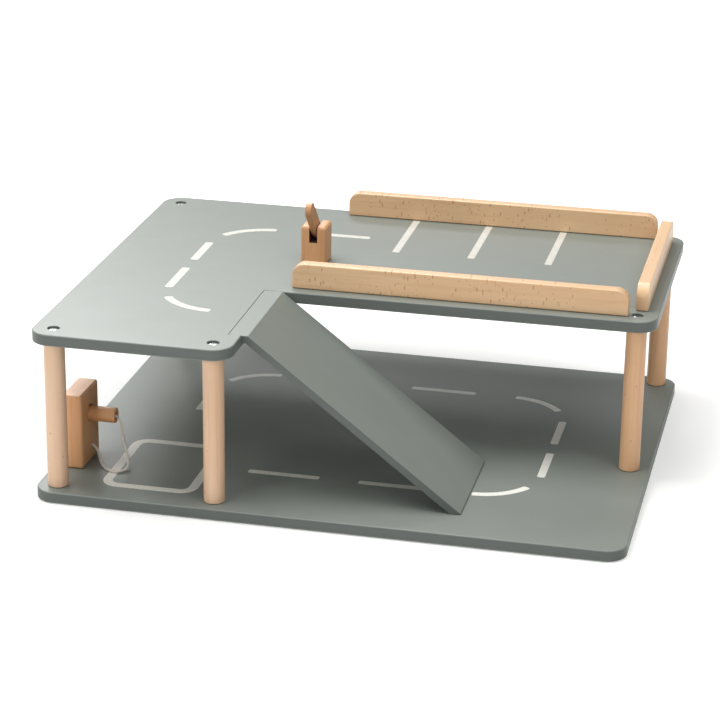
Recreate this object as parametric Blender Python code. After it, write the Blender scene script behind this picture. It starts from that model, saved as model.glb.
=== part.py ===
# Wooden toy garage: a base board, an L-shaped parking deck on five dowel posts, a lift-off ramp,
# three guard rails, a swinging barrier and a charging post with a plug on a cord.
# Metres, +Z up. The origin is at the middle of the base board's underside, +X along its long side.

import math
from collections import namedtuple

import bmesh
import bpy
from mathutils import Matrix, Vector

# Gaps
SEAT_GAP = 0.0003            # between two pieces that touch
RUN_GAP = 0.0003             # between a pin, plug, cord or screw and its hole

# Boards
BASE_LENGTH = 0.450
BASE_DEPTH = 0.362
BASE_THICKNESS = 0.009
DECK_THICKNESS = 0.009
CORNER_RADIUS = 0.016
BOARD_SOFTENING = 0.001      # sanded arris
WING_LENGTH = 0.155          # the deck's front left part, along X
WING_DEPTH = 0.140           # and along Y, up to the long part's front edge

# Posts
POST_DIAMETER = 0.016
POST_LENGTH = 0.1168
POST_INSET = 0.016           # centre of a post from the board's edges
POST_SOFTENING = 0.0005

# Long screws into the posts, with pan heads in round recesses
LONG_SCREW_DIAMETER = 0.0036
LONG_SCREW_POINT = 0.004
LONG_SCREW_BITE = 0.022      # length in the post
LONG_HEAD_DIAMETER = 0.0080
LONG_HEAD_HEIGHT = 0.0020
LONG_RECESS_DIAMETER = 0.0092
LONG_RECESS_DEPTH = 0.0033

# Short screws into the rails and blocks
SHORT_SCREW_DIAMETER = 0.0028
SHORT_SCREW_POINT = 0.003
SHORT_SCREW_BITE = 0.010
SHORT_HEAD_DIAMETER = 0.0056
SHORT_HEAD_HEIGHT = 0.0016
SHORT_RECESS_DIAMETER = 0.0066
SHORT_RECESS_DEPTH = 0.0028

# Cross drive in every screw head
DRIVE_SPAN = 0.50            # its span as a share of the head's diameter
DRIVE_BAR = 0.0009
DRIVE_DEPTH = 0.0009

# Ramp
RAMP_WIDTH = 0.104
RAMP_THICKNESS = 0.006
RAMP_RUN = 0.163             # level distance from the bend to the toe
RAMP_LIP_BEARING = 0.010     # lip on the deck
RAMP_LIP_OVERHANG = 0.005    # lip from the deck's edge to the bend
RAMP_NOSE = 0.001            # upright face at the toe
RAMP_SOFTENING = 0.0004
RAMP_SIDE_GAP = 0.0005       # between the ramp and the long part's front edge

# Guard rails: each one's length is what its gaps leave
RAIL_HEIGHT = 0.020
RAIL_THICKNESS = 0.010
RAIL_CORNER_RADIUS = 0.0098  # top corners
RAIL_FOOT_RADIUS = 0.001     # bottom corners
RAIL_SOFTENING = 0.001
RAIL_START = 0.0095          # left ends of the long rails from the wing's free edge
FRONT_RAIL_SETBACK = 0.010   # front face from the long part's front edge
BACK_RAIL_SETBACK = 0.004    # back face from the deck's back edge
END_RAIL_SETBACK = 0.0088    # outer face from the deck's right edge
LONG_RAIL_GAP = 0.0038       # from the long rails' right ends to the end rail
END_RAIL_FRONT_GAP = 0.0055  # from the front rail's back face to the end rail
END_RAIL_BACK_GAP = 0.0025   # from the end rail to the back rail's front face
RAIL_SCREW_INSET = 0.030     # outer screws from a rail's ends
LONG_RAIL_SCREW_COUNT = 3
END_RAIL_SCREW_COUNT = 2

# Barrier
BARRIER_WIDTH = 0.0205
BARRIER_DEPTH = 0.022
BARRIER_HEIGHT = 0.0315
BARRIER_SOFTENING = 0.0015
BARRIER_START = 0.0014       # left face from the wing's free edge
BARRIER_LANE = 0.0505        # from the front rail's back face to the block
SLOT_WIDTH = 0.0065
SLOT_DEPTH = 0.0135
ARM_LENGTH = 0.045
ARM_WIDTH = 0.012
ARM_SIDE_GAP = 0.00075
ARM_FLOOR_GAP = 0.0018        # under the upright arm, above the slot's floor
ARM_SOFTENING = 0.0006
ARM_LEAN = 45.0              # degrees from upright, towards the front
PIN_DIAMETER = 0.0040
PIN_COVER = 0.003            # wood left past the pin's blind hole

# Charger
CHARGER_THICKNESS = 0.016
CHARGER_WIDTH = 0.040
CHARGER_HEIGHT = 0.060
CHARGER_SOFTENING = 0.0020
CHARGER_LEFT = 0.009         # from the base's left edge
CHARGER_FRONT = 0.0475       # from the base's front edge
CHARGER_SCREW_INSET = 0.009  # screws from the block's two narrow sides
SOCKET_HEIGHT = 0.0396       # socket's centre above the block's foot
SOCKET_DIAMETER = 0.0134     # the plug lies on its lower side
SOCKET_DEPTH = 0.010
PLUG_DIAMETER = 0.012
PLUG_LENGTH = 0.0309
PLUG_SOFTENING = 0.0006
PLUG_RECESS_DIAMETER = 0.0065
PLUG_RECESS_DEPTH = 0.004
CORD_DIAMETER = 0.0020
CORD_HOLE_DEPTH = 0.004
CORD_HOLE_HEIGHT = 0.0120    # cord's lower hole above the block's foot
CORD_HOLE_OFFSET = 0.0020    # and behind the socket's centre

# The cord's route, chosen by hand: out of the block, down onto the board, round and up to the plug
CORD_ROUTE = (
    (-0.20370, -0.11150, 0.02130),
    (-0.19980, -0.11150, 0.02130),
    (-0.19720, -0.11230, 0.02040),
    (-0.19460, -0.11420, 0.01800),
    (-0.19170, -0.11780, 0.01420),
    (-0.18800, -0.12360, 0.01120),
    (-0.18350, -0.12920, 0.01035),
    (-0.17840, -0.13270, 0.01030),
    (-0.17330, -0.13340, 0.01030),
    (-0.16890, -0.13080, 0.01035),
    (-0.16690, -0.12620, 0.01090),
    (-0.16730, -0.12130, 0.01300),
    (-0.16920, -0.11760, 0.01720),
    (-0.17160, -0.11530, 0.02360),
    (-0.17370, -0.11410, 0.03100),
    (-0.17490, -0.11360, 0.03790),
    (-0.17620, -0.11350, 0.04300),
    (-0.17730, -0.11350, 0.04620),
    (-0.17950, -0.11350, 0.04800),
    (-0.18250, -0.11350, 0.04850),
)
CORD_STEP = 0.003            # distance between the finished cord's points

# Facets
POST_STEPS = 24
SCREW_STEPS = 12
HOLE_STEPS = 20
SMALL_HOLE_STEPS = 12
CORNER_STEPS = 6
SMALL_CORNER_STEPS = 2
ARRIS_STEPS = 2

# Levels and places that follow
LEFT = -BASE_LENGTH / 2
RIGHT = BASE_LENGTH / 2
FRONT = -BASE_DEPTH / 2
BACK = BASE_DEPTH / 2
ON_BASE = BASE_THICKNESS + SEAT_GAP
POST_TOP = ON_BASE + POST_LENGTH
DECK_BOTTOM = POST_TOP + SEAT_GAP
DECK_TOP = DECK_BOTTOM + DECK_THICKNESS
ON_DECK = DECK_TOP + SEAT_GAP
WING_EDGE = LEFT + WING_LENGTH
LONG_EDGE = FRONT + WING_DEPTH
OVERCUT = 0.002              # how far a cutter runs past a face

RAIL_LEFT = WING_EDGE + RAIL_START
FRONT_RAIL_Y = LONG_EDGE + FRONT_RAIL_SETBACK
BACK_RAIL_Y = BACK - BACK_RAIL_SETBACK - RAIL_THICKNESS
END_RAIL_X = RIGHT - END_RAIL_SETBACK - RAIL_THICKNESS
END_RAIL_Y = FRONT_RAIL_Y + RAIL_THICKNESS + END_RAIL_FRONT_GAP
LONG_RAIL_LENGTH = END_RAIL_X - LONG_RAIL_GAP - RAIL_LEFT
END_RAIL_LENGTH = BACK_RAIL_Y - END_RAIL_BACK_GAP - END_RAIL_Y

BARRIER_X = WING_EDGE + BARRIER_START + BARRIER_WIDTH / 2
BARRIER_Y = FRONT_RAIL_Y + RAIL_THICKNESS + BARRIER_LANE + BARRIER_DEPTH / 2
SLOT_FLOOR = ON_DECK + BARRIER_HEIGHT - SLOT_DEPTH
PIVOT_Z = SLOT_FLOOR + ARM_WIDTH / 2 + ARM_FLOOR_GAP

CHARGER_X = LEFT + CHARGER_LEFT
CHARGER_FACE = CHARGER_X + CHARGER_THICKNESS
CHARGER_Y = FRONT + CHARGER_FRONT
SOCKET_Y = CHARGER_Y + CHARGER_WIDTH / 2
SOCKET_Z = ON_BASE + SOCKET_HEIGHT
PLUG_Z = SOCKET_Z - (SOCKET_DIAMETER - PLUG_DIAMETER) / 2 + RUN_GAP

POSTS = {
    "front_left": (LEFT + POST_INSET, FRONT + POST_INSET),
    "middle": (WING_EDGE - POST_INSET, FRONT + POST_INSET),
    "front_right": (RIGHT - POST_INSET, LONG_EDGE + POST_INSET),
    "back_right": (RIGHT - POST_INSET, BACK - POST_INSET),
    "back_left": (LEFT + POST_INSET, BACK - POST_INSET),
}

Screw = namedtuple("Screw", "diameter point bite head_diameter head_height "
                   "recess_diameter recess_depth hole_steps")
LONG_SCREW = Screw(LONG_SCREW_DIAMETER, LONG_SCREW_POINT, LONG_SCREW_BITE, LONG_HEAD_DIAMETER,
                   LONG_HEAD_HEIGHT, LONG_RECESS_DIAMETER, LONG_RECESS_DEPTH, HOLE_STEPS)
SHORT_SCREW = Screw(SHORT_SCREW_DIAMETER, SHORT_SCREW_POINT, SHORT_SCREW_BITE, SHORT_HEAD_DIAMETER,
                    SHORT_HEAD_HEIGHT, SHORT_RECESS_DIAMETER, SHORT_RECESS_DEPTH, SMALL_HOLE_STEPS)

# Turns that lay a shape made along +Z on its side, or stand it on its head
ALONG_X = Matrix.Rotation(math.pi / 2, 4, "Y")
OUTLINE_IN_XZ = Matrix.Rotation(math.pi / 2, 4, "X")
OUTLINE_IN_YZ = Matrix.Rotation(math.pi / 2, 4, "Z") @ OUTLINE_IN_XZ
UPSIDE_DOWN = Matrix.Rotation(math.pi, 4, "X")


def at(x, y, z):
    return Matrix.Translation((x, y, z))


# Materials, one for each object


def finish(obj, colour, roughness, metallic=0.0):
    material = bpy.data.materials.new(obj.name)
    material.use_nodes = True
    shader = material.node_tree.nodes["Principled BSDF"]
    shader.inputs["Base Color"].default_value = (*colour, 1.0)
    shader.inputs["Roughness"].default_value = roughness
    shader.inputs["Metallic"].default_value = metallic
    obj.data.materials.append(material)
    return obj


def paint(obj):
    return finish(obj, (0.19, 0.21, 0.19), 0.45)


def beech(obj):
    return finish(obj, (0.68, 0.43, 0.24), 0.55)


def steel(obj):
    return finish(obj, (0.70, 0.70, 0.68), 0.3, metallic=1.0)


def cotton(obj):
    return finish(obj, (0.72, 0.68, 0.60), 0.9)


# Shapes, each a mesh in progress about its own origin


def rounded_outline(corners, inset, steps):
    # corners are (x, y, radius) round a square-cornered outline, counterclockwise
    points = []
    for index, (x, y, radius) in enumerate(corners):
        here = Vector((x, y))
        along_in = (here - Vector(corners[index - 1][:2])).normalized()
        along_out = (Vector(corners[(index + 1) % len(corners)][:2]) - here).normalized()
        normal_in = Vector((-along_in.y, along_in.x))
        normal_out = Vector((-along_out.y, along_out.x))
        if radius == 0:
            points.append(here + (normal_in + normal_out) * inset)
            continue
        centre = here + (normal_in + normal_out) * radius
        for step in range(steps + 1):
            turn = math.pi / 2 * step / steps
            outwards = -normal_in * math.cos(turn) - normal_out * math.sin(turn)
            points.append(centre + outwards * (radius - inset))
    return points


def soft_prism(corners, height, softening, steps):
    # stands on the XY plane; the arrises of its two flat faces are rounded
    levels = []
    for step in range(ARRIS_STEPS + 1):
        turn = math.pi / 2 * step / ARRIS_STEPS
        levels.append((softening * (1 - math.sin(turn)), softening * (1 - math.cos(turn))))
    levels += [(inset, height - level) for inset, level in reversed(levels)]
    shape = bmesh.new()
    rings = []
    for inset, level in levels:
        outline = rounded_outline(corners, inset, steps)
        rings.append([shape.verts.new((point.x, point.y, level)) for point in outline])
    for lower, upper in zip(rings, rings[1:]):
        for index, vert in enumerate(lower):
            after = (index + 1) % len(lower)
            shape.faces.new((vert, lower[after], upper[after], upper[index]))
    shape.faces.new(list(reversed(rings[0])))
    shape.faces.new(rings[-1])
    return shape


def prism(outline, height):
    # a sharp prism on the XY plane
    shape = bmesh.new()
    face = shape.faces.new([shape.verts.new((x, y, 0.0)) for x, y in outline])
    grown = bmesh.ops.extrude_face_region(shape, geom=[face])
    top = [item for item in grown["geom"] if isinstance(item, bmesh.types.BMVert)]
    bmesh.ops.translate(shape, vec=(0, 0, height), verts=top)
    return shape


def turned(profile, steps):
    # spins (radius, level) pairs round Z; the profile starts and ends on the axis
    shape = bmesh.new()
    verts = [shape.verts.new((radius, 0.0, level)) for radius, level in profile]
    edges = [shape.edges.new(pair) for pair in zip(verts, verts[1:])]
    bmesh.ops.spin(shape, geom=verts + edges, cent=(0, 0, 0), axis=(0, 0, 1),
                   angle=2 * math.pi, steps=steps, use_merge=True)
    return shape


def cylinder(radius, bottom, top, steps):
    return turned([(0, bottom), (radius, bottom), (radius, top), (0, top)], steps)


def box(x0, y0, z0, x1, y1, z1):
    shape = prism([(x0, y0), (x1, y0), (x1, y1), (x0, y1)], z1 - z0)
    bmesh.ops.translate(shape, vec=(0, 0, z0), verts=shape.verts)
    return shape


def box_corners(x0, y0, x1, y1, radius):
    return [(x0, y0, radius), (x1, y0, radius), (x1, y1, radius), (x0, y1, radius)]


def make(name, shapes, place=(0, 0, 0)):
    # joins (shape, matrix) pairs into one object whose origin is at place; only cutters hold several
    whole = bmesh.new()
    for shape, matrix in shapes:
        bmesh.ops.remove_doubles(shape, verts=shape.verts, dist=1e-6)
        bmesh.ops.transform(shape, matrix=matrix, verts=shape.verts)
        bmesh.ops.recalc_face_normals(shape, faces=shape.faces)
        piece = bpy.data.meshes.new(name)
        shape.to_mesh(piece)
        shape.free()
        whole.from_mesh(piece)
        bpy.data.meshes.remove(piece)
    mesh = bpy.data.meshes.new(name)
    whole.to_mesh(mesh)
    whole.free()
    mesh.shade_smooth()
    mesh.set_sharp_from_angle(angle=math.radians(35))
    obj = bpy.data.objects.new(name, mesh)
    obj.location = place
    bpy.context.scene.collection.objects.link(obj)
    return obj


def cutter(name, shapes):
    obj = make(name, shapes)
    obj.hide_render = True
    obj.display_type = "WIRE"
    return obj


def cut(obj, *cutters):
    for tool in cutters:
        modifier = obj.modifiers.new(tool.name, "BOOLEAN")
        modifier.operation = "DIFFERENCE"
        modifier.solver = "EXACT"
        modifier.object = tool
    return obj


# Screws: every one is placed by the middle of its recess's floor, with its shank along -Z there


def shank_length(kind, board):
    return board - kind.recess_depth + SEAT_GAP + kind.bite


def screw_shape(kind, board):
    radius = kind.diameter / 2
    head = kind.head_diameter / 2
    seat = SEAT_GAP
    tip = seat - shank_length(kind, board)
    return turned([
        (0, tip),
        (radius, tip + kind.point),
        (radius, seat),
        (head, seat),
        (head, seat + kind.head_height * 0.35),
        (head * 0.8, seat + kind.head_height * 0.85),
        (head * 0.4, seat + kind.head_height),
        (0, seat + kind.head_height),
    ], SCREW_STEPS)


def screw_hole(kind, board):
    # one cutter for the board's stepped hole and for the blind hole in what it holds
    radius = kind.diameter / 2 + RUN_GAP
    recess = kind.recess_diameter / 2
    top = kind.recess_depth + OVERCUT
    return turned([
        (0, -shank_length(kind, board)),
        (radius, -shank_length(kind, board)),
        (radius, 0),
        (recess, 0),
        (recess, top),
        (0, top),
    ], kind.hole_steps)


def drive_shape(kind):
    arm = kind.head_diameter * DRIVE_SPAN / 2
    bar = DRIVE_BAR / 2
    outline = [(bar, -arm), (bar, -bar), (arm, -bar), (arm, bar), (bar, bar), (bar, arm),
               (-bar, arm), (-bar, bar), (-arm, bar), (-arm, -bar), (-bar, -bar), (-bar, -arm)]
    shape = prism(outline, DRIVE_DEPTH + OVERCUT)
    floor = SEAT_GAP + kind.head_height - DRIVE_DEPTH
    bmesh.ops.translate(shape, vec=(0, 0, floor), verts=shape.verts)
    return shape


def screw_mesh(name, kind, board):
    # the finished screw, which all its copies share
    drive = cutter(name + "_drive", [(drive_shape(kind), Matrix())])
    blank = cut(make(name + "_blank", [(screw_shape(kind, board), Matrix())]), drive)
    steel(blank)
    whole = blank.evaluated_get(bpy.context.evaluated_depsgraph_get())
    mesh = bpy.data.meshes.new_from_object(whole)
    for spent in (blank, drive):
        bpy.data.objects.remove(spent, do_unlink=True)
    return mesh


def place_screws(mesh, places):
    for name, place in places.items():
        obj = bpy.data.objects.new(name, mesh)
        obj.matrix_world = place
        bpy.context.scene.collection.objects.link(obj)


def screw_holes(name, kind, board, places):
    return cutter(name, [(screw_hole(kind, board), place) for place in places.values()])


def from_above(x, y, top, kind):
    return at(x, y, top - kind.recess_depth)


def from_below(x, y, bottom, kind):
    return at(x, y, bottom + kind.recess_depth) @ UPSIDE_DOWN


# The pieces


def build_base(holes):
    corners = box_corners(LEFT, FRONT, RIGHT, BACK, CORNER_RADIUS)
    shape = soft_prism(corners, BASE_THICKNESS, BOARD_SOFTENING, CORNER_STEPS)
    return paint(cut(make("base_board", [(shape, Matrix())]), *holes))


def build_deck(holes):
    # the base's outline without its front right part, and a rebate for the ramp's lip
    corners = [
        (LEFT, FRONT, CORNER_RADIUS),
        (WING_EDGE, FRONT, CORNER_RADIUS),
        (WING_EDGE, LONG_EDGE, 0),
        (RIGHT, LONG_EDGE, CORNER_RADIUS),
        (RIGHT, BACK, CORNER_RADIUS),
        (LEFT, BACK, CORNER_RADIUS),
    ]
    shape = soft_prism(corners, DECK_THICKNESS, BOARD_SOFTENING, CORNER_STEPS)
    deck = make("upper_deck", [(shape, at(0, 0, DECK_BOTTOM))])
    lip_front, lip_back = ramp_sides()
    rebate = cutter("ramp_rebate", [(box(
        WING_EDGE - RAMP_LIP_BEARING - SEAT_GAP, lip_front - SEAT_GAP, DECK_TOP - RAMP_THICKNESS - SEAT_GAP,
        WING_EDGE + OVERCUT, lip_back + SEAT_GAP, DECK_TOP + OVERCUT), Matrix())])
    return paint(cut(deck, rebate, *holes))


def build_posts(holes):
    radius = POST_DIAMETER / 2
    soft = POST_SOFTENING
    profile = [(0, 0), (radius - soft, 0), (radius, soft), (radius, POST_LENGTH - soft),
               (radius - soft, POST_LENGTH), (0, POST_LENGTH)]
    for name, (x, y) in POSTS.items():
        post = make("post_" + name, [(turned(profile, POST_STEPS), at(x, y, ON_BASE))])
        beech(cut(post, *holes))


def ramp_sides():
    lip_back = LONG_EDGE - RAMP_SIDE_GAP
    return lip_back - RAMP_WIDTH, lip_back


def build_ramp():
    # side outline: a level lip, the slope, and a toe cut flat to lie on the base
    _, side_back = ramp_sides()
    lip_end = WING_EDGE - RAMP_LIP_BEARING
    bend = WING_EDGE + RAMP_LIP_OVERHANG
    toe = bend + RAMP_RUN
    toe_top = ON_BASE + RAMP_NOSE
    lip_bottom = DECK_TOP - RAMP_THICKNESS
    slope = math.atan2(DECK_TOP - toe_top, RAMP_RUN)
    inner_bend = bend - RAMP_THICKNESS * math.tan(slope / 2)
    heel = inner_bend + (lip_bottom - ON_BASE) / math.tan(slope)
    outline = [(lip_end, lip_bottom), (inner_bend, lip_bottom), (heel, ON_BASE), (toe, ON_BASE),
               (toe, toe_top), (bend, DECK_TOP), (lip_end, DECK_TOP)]
    ramp = make("ramp", [(prism(outline, RAMP_WIDTH), at(0, side_back, 0) @ OUTLINE_IN_XZ)])
    softening = ramp.modifiers.new("softening", "BEVEL")
    softening.width = RAMP_SOFTENING
    softening.segments = 2
    softening.limit_method = "ANGLE"
    softening.angle_limit = math.radians(20)
    return paint(ramp)


def rail_shape(length):
    corners = [(0, 0, RAIL_FOOT_RADIUS), (length, 0, RAIL_FOOT_RADIUS),
               (length, RAIL_HEIGHT, RAIL_CORNER_RADIUS), (0, RAIL_HEIGHT, RAIL_CORNER_RADIUS)]
    return soft_prism(corners, RAIL_THICKNESS, RAIL_SOFTENING, CORNER_STEPS)


def spread(start, length, count):
    # screw places along a rail
    first = start + RAIL_SCREW_INSET
    pitch = (length - 2 * RAIL_SCREW_INSET) / (count - 1)
    return [first + pitch * index for index in range(count)]


def rail_screw_places():
    # for each rail, a place for each of its screws
    middle = RAIL_THICKNESS / 2
    long_x = spread(RAIL_LEFT, LONG_RAIL_LENGTH, LONG_RAIL_SCREW_COUNT)
    end_y = spread(END_RAIL_Y, END_RAIL_LENGTH, END_RAIL_SCREW_COUNT)
    spots = {
        "front": [(x, FRONT_RAIL_Y + middle) for x in long_x],
        "back": [(x, BACK_RAIL_Y + middle) for x in long_x],
        "end": [(END_RAIL_X + middle, y) for y in end_y],
    }
    return {side: {f"rail_screw_{side}_{count}": from_below(x, y, DECK_BOTTOM, SHORT_SCREW)
                   for count, (x, y) in enumerate(spot, start=1)}
            for side, spot in spots.items()}


def build_rails(holes):
    front = at(RAIL_LEFT, FRONT_RAIL_Y + RAIL_THICKNESS, ON_DECK) @ OUTLINE_IN_XZ
    back = at(RAIL_LEFT, BACK_RAIL_Y + RAIL_THICKNESS, ON_DECK) @ OUTLINE_IN_XZ
    end = at(END_RAIL_X, END_RAIL_Y, ON_DECK) @ OUTLINE_IN_YZ
    beech(cut(make("rail_front", [(rail_shape(LONG_RAIL_LENGTH), front)]), holes["front"]))
    beech(cut(make("rail_back", [(rail_shape(LONG_RAIL_LENGTH), back)]), holes["back"]))
    beech(cut(make("rail_end", [(rail_shape(END_RAIL_LENGTH), end)]), holes["end"]))


def build_barrier(hole):
    # a slotted block, a pin in from its left face, and an arm that turns on the pin
    half_width = BARRIER_WIDTH / 2
    half_depth = BARRIER_DEPTH / 2
    corners = box_corners(-half_width, -half_depth, half_width, half_depth, BARRIER_SOFTENING)
    shape = soft_prism(corners, BARRIER_HEIGHT, BARRIER_SOFTENING, SMALL_CORNER_STEPS)
    block = make("barrier_block", [(shape, at(BARRIER_X, BARRIER_Y, ON_DECK))])
    slot = cutter("barrier_slot", [(box(
        BARRIER_X - SLOT_WIDTH / 2, BARRIER_Y - half_depth - OVERCUT, SLOT_FLOOR,
        BARRIER_X + SLOT_WIDTH / 2, BARRIER_Y + half_depth + OVERCUT,
        ON_DECK + BARRIER_HEIGHT + OVERCUT), Matrix())])

    pin_left = BARRIER_X - half_width + SEAT_GAP
    pin_length = BARRIER_WIDTH - PIN_COVER - 2 * SEAT_GAP
    pin_hole_length = pin_length + SEAT_GAP + OVERCUT
    pin_hole_start = at(pin_left - OVERCUT, BARRIER_Y, PIVOT_Z) @ ALONG_X
    pin_hole = cutter("barrier_pin_hole", [
        (cylinder(PIN_DIAMETER / 2 + RUN_GAP, 0, pin_hole_length, SMALL_HOLE_STEPS), pin_hole_start)])
    beech(cut(block, slot, pin_hole, hole))

    pin = cylinder(PIN_DIAMETER / 2, 0, pin_length, SMALL_HOLE_STEPS)
    beech(make("barrier_pin", [(pin, ALONG_X)], place=(pin_left, BARRIER_Y, PIVOT_Z)))

    half_arm = ARM_WIDTH / 2
    thickness = SLOT_WIDTH - 2 * ARM_SIDE_GAP
    arm_corners = box_corners(-half_arm, -half_arm, half_arm, ARM_LENGTH - half_arm, half_arm)
    arm_shape = soft_prism(arm_corners, thickness, ARM_SOFTENING, CORNER_STEPS)
    arm = make("barrier_arm", [(arm_shape, at(-thickness / 2, 0, 0) @ OUTLINE_IN_YZ)],
               place=(BARRIER_X, BARRIER_Y, PIVOT_Z))
    arm.rotation_euler.x = math.radians(ARM_LEAN)
    beech(cut(arm, pin_hole))


def build_charger(holes):
    # a block with a socket in its right face, a plug in the socket and the plug's cord
    corners = box_corners(CHARGER_X, CHARGER_Y, CHARGER_FACE, CHARGER_Y + CHARGER_WIDTH, CHARGER_SOFTENING)
    shape = soft_prism(corners, CHARGER_HEIGHT, CHARGER_SOFTENING, SMALL_CORNER_STEPS)
    block = make("charger_block", [(shape, at(0, 0, ON_BASE))])
    socket = cylinder(SOCKET_DIAMETER / 2, -SOCKET_DEPTH, OVERCUT, POST_STEPS)
    cord_hole = cylinder(CORD_DIAMETER / 2 + RUN_GAP, -CORD_HOLE_DEPTH, OVERCUT, SMALL_HOLE_STEPS)
    cord_hole_y = SOCKET_Y + CORD_HOLE_OFFSET
    cord_hole_z = ON_BASE + CORD_HOLE_HEIGHT
    openings = cutter("charger_openings", [
        (socket, at(CHARGER_FACE, SOCKET_Y, SOCKET_Z) @ ALONG_X),
        (cord_hole, at(CHARGER_FACE, cord_hole_y, cord_hole_z) @ ALONG_X)])
    beech(cut(block, openings, holes))

    radius = PLUG_DIAMETER / 2
    recess = PLUG_RECESS_DIAMETER / 2
    soft = PLUG_SOFTENING
    profile = [(0, 0), (radius - soft, 0), (radius, soft), (radius, PLUG_LENGTH - soft),
               (radius - soft, PLUG_LENGTH), (recess, PLUG_LENGTH),
               (recess, PLUG_LENGTH - PLUG_RECESS_DEPTH), (0, PLUG_LENGTH - PLUG_RECESS_DEPTH)]
    plug = make("charger_plug", [(turned(profile, POST_STEPS), ALONG_X)],
                place=(CHARGER_FACE - SOCKET_DEPTH + SEAT_GAP, SOCKET_Y, PLUG_Z))
    beech(plug)

    cord = build_cord()
    cord.parent = plug
    cord.matrix_parent_inverse = at(*plug.location).inverted()


def smooth_points(route, step):
    # points a step apart on a Catmull-Rom curve through the route
    knots = [Vector(point) for point in route]
    knots = [2 * knots[0] - knots[1]] + knots + [2 * knots[-1] - knots[-2]]
    fine = 24
    dense = []
    for before, start, end, after in zip(knots, knots[1:], knots[2:], knots[3:]):
        for index in range(fine):
            t = index / fine
            dense.append(0.5 * (2 * start + (end - before) * t
                                + (2 * before - 5 * start + 4 * end - after) * t ** 2
                                + (3 * start - before - 3 * end + after) * t ** 3))
    dense.append(knots[-2])
    length = sum((b - a).length for a, b in zip(dense, dense[1:]))
    count = max(2, round(length / step))
    spacing = length / count
    points = [dense[0]]
    travelled = 0.0
    for here, ahead in zip(dense, dense[1:]):
        stretch = (ahead - here).length
        while len(points) < count and travelled + stretch >= spacing * len(points):
            share = (spacing * len(points) - travelled) / stretch
            points.append(here.lerp(ahead, share))
        travelled += stretch
    points.append(dense[-1])
    return points, length


def build_cord():
    points, length = smooth_points(CORD_ROUTE, CORD_STEP)
    print("cord length", round(length, 4), "m")
    curve = bpy.data.curves.new("charger_cord", "CURVE")
    curve.dimensions = "3D"
    curve.bevel_depth = CORD_DIAMETER / 2
    curve.bevel_resolution = 2
    curve.use_fill_caps = True
    spline = curve.splines.new("POLY")
    spline.points.add(len(points) - 1)
    for slot, point in zip(spline.points, points):
        slot.co = (*point, 1.0)
    obj = bpy.data.objects.new("charger_cord", curve)
    bpy.context.scene.collection.objects.link(obj)
    return cotton(obj)


def build():
    for old in list(bpy.data.objects):
        bpy.data.objects.remove(old, do_unlink=True)

    deck_places = {"deck_screw_" + name: from_above(x, y, DECK_TOP, LONG_SCREW)
                   for name, (x, y) in POSTS.items()}
    base_places = {"base_screw_" + name: from_below(x, y, 0, LONG_SCREW)
                   for name, (x, y) in POSTS.items()}
    rail_places = rail_screw_places()
    barrier_place = {"barrier_screw": from_below(BARRIER_X, BARRIER_Y, DECK_BOTTOM, SHORT_SCREW)}
    charger_middle = CHARGER_X + CHARGER_THICKNESS / 2
    charger_places = {
        "charger_screw_front": from_below(charger_middle, CHARGER_Y + CHARGER_SCREW_INSET, 0, SHORT_SCREW),
        "charger_screw_back": from_below(
            charger_middle, CHARGER_Y + CHARGER_WIDTH - CHARGER_SCREW_INSET, 0, SHORT_SCREW),
    }

    deck_screw = screw_mesh("deck_screw", LONG_SCREW, DECK_THICKNESS)
    base_screw = screw_mesh("base_screw", LONG_SCREW, BASE_THICKNESS)
    rail_screw = screw_mesh("rail_screw", SHORT_SCREW, DECK_THICKNESS)
    charger_screw = screw_mesh("charger_screw", SHORT_SCREW, BASE_THICKNESS)
    place_screws(deck_screw, deck_places)
    place_screws(base_screw, base_places)
    for places in (*rail_places.values(), barrier_place):
        place_screws(rail_screw, places)
    place_screws(charger_screw, charger_places)

    deck_holes = screw_holes("deck_screw_holes", LONG_SCREW, DECK_THICKNESS, deck_places)
    base_holes = screw_holes("base_screw_holes", LONG_SCREW, BASE_THICKNESS, base_places)
    rail_holes = {side: screw_holes(side + "_rail_screw_holes", SHORT_SCREW, DECK_THICKNESS, places)
                  for side, places in rail_places.items()}
    barrier_hole = screw_holes("barrier_screw_hole", SHORT_SCREW, DECK_THICKNESS, barrier_place)
    charger_holes = screw_holes("charger_screw_holes", SHORT_SCREW, BASE_THICKNESS, charger_places)

    build_base([base_holes, charger_holes])
    build_deck([deck_holes, *rail_holes.values(), barrier_hole])
    build_posts([deck_holes, base_holes])
    build_ramp()
    build_rails(rail_holes)
    build_barrier(barrier_hole)
    build_charger(charger_holes)


build()
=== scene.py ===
# Wooden toy garage: painted boards on beech posts, with a ramp, rails, a barrier and a charging post.
import math

import bmesh
import bpy
from mathutils import Matrix, Vector


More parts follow.
